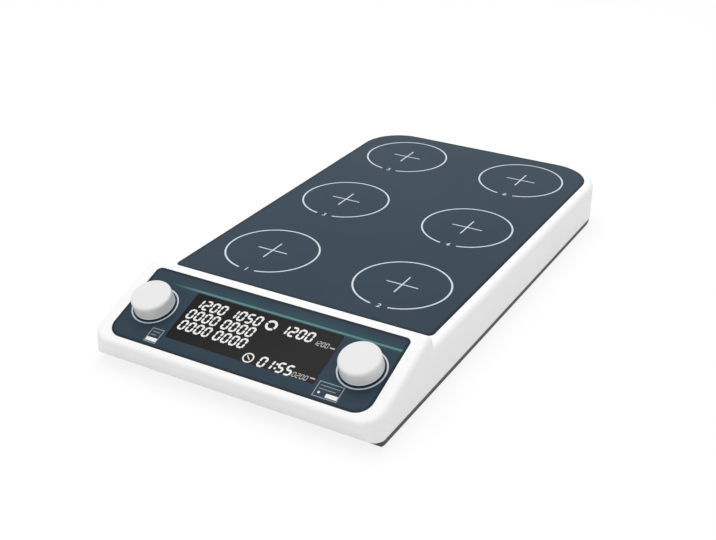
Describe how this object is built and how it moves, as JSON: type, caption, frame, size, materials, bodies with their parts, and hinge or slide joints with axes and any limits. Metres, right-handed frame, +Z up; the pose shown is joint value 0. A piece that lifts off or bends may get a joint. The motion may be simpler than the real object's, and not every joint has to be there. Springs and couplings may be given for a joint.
{
  "type": "multi-position magnetic stirrer",
  "caption": "Flat bench stirrer with printed stirring places on a dark glass deck and a sloped console with a display between two push knobs.",
  "frame": {"origin": "on the table under the middle of the body", "axes": "+X to the right seen from the front, +Y to the rear, +Z up"},
  "size_m": [0.254, 0.4724, 0.0566],
  "materials": {
    "cover": "fine satin moulding",
    "pan": "fine dark powder coat",
    "deck": "satin dark glass with light print",
    "overlay": "satin printed film",
    "window": "smoked clear lens",
    "knob": "satin moulding",
    "seal": "soft black",
    "display": "dark display",
    "circuit": "green circuit board",
    "plate": "brushed sheet",
    "steel": "zinc plated",
    "motor": "drawn can",
    "carrier": "black moulding",
    "magnet": "nickel plated",
    "foot": "matte black",
    "inlet": "black moulding",
    "contact": "plated",
    "lead": "flat grey lead"
  },
  "bodies": {
    "rotor_1": {"rotor_shaft_1": "steel", "magnet_holder_1": "carrier", "magnets_1": "magnet"},
    "rotor_2": {"rotor_shaft_2": "steel", "magnet_holder_2": "carrier", "magnets_2": "magnet"},
    "rotor_3": {"rotor_shaft_3": "steel", "magnet_holder_3": "carrier", "magnets_3": "magnet"},
    "rotor_4": {"rotor_shaft_4": "steel", "magnet_holder_4": "carrier", "magnets_4": "magnet"},
    "rotor_5": {"rotor_shaft_5": "steel", "magnet_holder_5": "carrier", "magnets_5": "magnet"},
    "rotor_6": {"rotor_shaft_6": "steel", "magnet_holder_6": "carrier", "magnets_6": "magnet"},
    "dial_left": {"encoder_wheel_left": "carrier"},
    "button_left": {"knob_left": "knob", "knob_shaft_left": "steel"},
    "dial_right": {"encoder_wheel_right": "carrier"},
    "button_right": {"knob_right": "knob", "knob_shaft_right": "steel"},
    "rocker": {"power_rocker": "inlet"},
    "body": {"top_housing": "cover", "base_pan": "pan", "deck_glass": "deck", "deck_gasket": "seal", "console_overlay": "overlay", "display_window": "window", "lcd_module": "display", "display_board": "circuit", "display_screws": "steel", "motor_plate": "plate", "plate_standoffs": "steel", "plate_screws": "steel", "control_board": "circuit", "power_supply": "circuit", "board_standoffs": "carrier", "board_screws": "steel", "ribbon_cable": "lead", "case_screws": "steel", "foot_screws": "steel", "power_inlet": "inlet", "inlet_contacts": "contact", "inlet_screws": "steel", "power_switch": "inlet", "foot_front_left": "foot", "foot_front_right": "foot", "foot_rear_left": "foot", "foot_rear_right": "foot", "encoder_left": "carrier", "encoder_right": "carrier", "motor_1": "motor", "motor_2": "motor", "motor_3": "motor", "motor_4": "motor", "motor_5": "motor", "motor_6": "motor"}
  },
  "joints": [
    {"name": "rotor_1_spin", "type": "hinge", "parent": "body", "child": "rotor_1", "pos_m": [-0.062, -0.0748, 0.03], "axis": [0, 0, 1], "continuous": true},
    {"name": "rotor_2_spin", "type": "hinge", "parent": "body", "child": "rotor_2", "pos_m": [0.062, -0.0748, 0.03], "axis": [0, 0, 1], "continuous": true},
    {"name": "rotor_3_spin", "type": "hinge", "parent": "body", "child": "rotor_3", "pos_m": [-0.062, 0.0492, 0.03], "axis": [0, 0, 1], "continuous": true},
    {"name": "rotor_4_spin", "type": "hinge", "parent": "body", "child": "rotor_4", "pos_m": [0.062, 0.0492, 0.03], "axis": [0, 0, 1], "continuous": true},
    {"name": "rotor_5_spin", "type": "hinge", "parent": "body", "child": "rotor_5", "pos_m": [-0.062, 0.1732, 0.03], "axis": [0, 0, 1], "continuous": true},
    {"name": "rotor_6_spin", "type": "hinge", "parent": "body", "child": "rotor_6", "pos_m": [0.062, 0.1732, 0.03], "axis": [0, 0, 1], "continuous": true},
    {"name": "knob_left_turn", "type": "hinge", "parent": "body", "child": "dial_left", "pos_m": [-0.0927, -0.19462, 0.04004], "axis": [0, -0.3445, 0.9388], "continuous": true},
    {"name": "knob_left_press", "type": "slide", "parent": "dial_left", "child": "button_left", "axis": [0, -0.3445, 0.9388], "range_m": [-0.0005, 0], "stiffness_N_per_m": 6000, "springref_m": 0.0003},
    {"name": "knob_right_turn", "type": "hinge", "parent": "body", "child": "dial_right", "pos_m": [0.0927, -0.19462, 0.04004], "axis": [0, -0.3445, 0.9388], "continuous": true},
    {"name": "knob_right_press", "type": "slide", "parent": "dial_right", "child": "button_right", "axis": [0, -0.3445, 0.9388], "range_m": [-0.0005, 0], "stiffness_N_per_m": 6000, "springref_m": 0.0003},
    {"name": "power_rocker_tip", "type": "hinge", "parent": "body", "child": "rocker", "pos_m": [-0.002, 0.23025, 0.0265], "axis": [1, 0, 0], "range_deg": [0, 24]}
  ]
}
